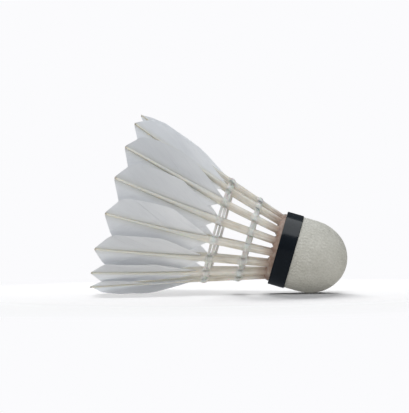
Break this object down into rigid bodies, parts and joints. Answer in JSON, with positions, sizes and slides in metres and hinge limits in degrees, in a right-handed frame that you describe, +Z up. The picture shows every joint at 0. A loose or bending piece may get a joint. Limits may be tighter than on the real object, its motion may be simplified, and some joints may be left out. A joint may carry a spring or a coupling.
{
  "type": "badminton shuttlecock",
  "caption": "Feather badminton shuttlecock: domed leather-covered cork with a dark band, quills bound by two thread rings, and a flared crown of overlapping white vanes, lying at rest.",
  "frame": {"origin": "on the resting plane z = 0, under the centre of the bounding box in X and Y; the shuttle lies on its cork dome and on the lowest edge of its crown", "axes": "+Z up, normal to the resting plane. +X is the horizontal direction from the feather tips towards the cork. The shuttle's own axis lies in the XZ plane and its cork end dips 16.613 degrees below +X, so it points along (0.95826, 0, -0.28591). The middle of the cork's flat top face is at (0.02107, 0, 0.01636) m. A turn of -16.613 degrees about +Y through that point lays the axis along +X. +Y is to the far side when +X points right."},
  "size_m": [0.092, 0.066, 0.0651],
  "materials": {
    "cork": "natural cork, granular, matt",
    "leather": "off-white kid leather, fine pebble grain, satin",
    "ribbon": "near-black navy tape, glossy",
    "paper": "plain white paper disc, matt",
    "glue": "cured translucent amber adhesive, glossy",
    "quill": "ivory keratin, fine lengthwise striations, satin",
    "feather": "white feather barbs, soft, slightly translucent",
    "thread": "white twisted thread set in clear glue, semi-gloss"
  },
  "bodies": {
    "root": {"cork_core": "cork", "leather_cover": "leather", "ribbon_band": "ribbon", "top_label": "paper", "glue_ring": "glue", "feather_01_shaft": "quill", "feather_01_vane": "feather", "feather_02_shaft": "quill", "feather_02_vane": "feather", "feather_03_shaft": "quill", "feather_03_vane": "feather", "feather_04_shaft": "quill", "feather_04_vane": "feather", "feather_05_shaft": "quill", "feather_05_vane": "feather", "feather_06_shaft": "quill", "feather_06_vane": "feather", "feather_07_shaft": "quill", "feather_07_vane": "feather", "feather_08_shaft": "quill", "feather_08_vane": "feather", "feather_09_shaft": "quill", "feather_09_vane": "feather", "feather_10_shaft": "quill", "feather_10_vane": "feather", "feather_11_shaft": "quill", "feather_11_vane": "feather", "feather_12_shaft": "quill", "feather_12_vane": "feather", "feather_13_shaft": "quill", "feather_13_vane": "feather", "feather_14_shaft": "quill", "feather_14_vane": "feather", "feather_15_shaft": "quill", "feather_15_vane": "feather", "feather_16_shaft": "quill", "feather_16_vane": "feather", "thread_ring_lower": "thread", "thread_ring_upper": "thread"}
  },
  "joints": []
}
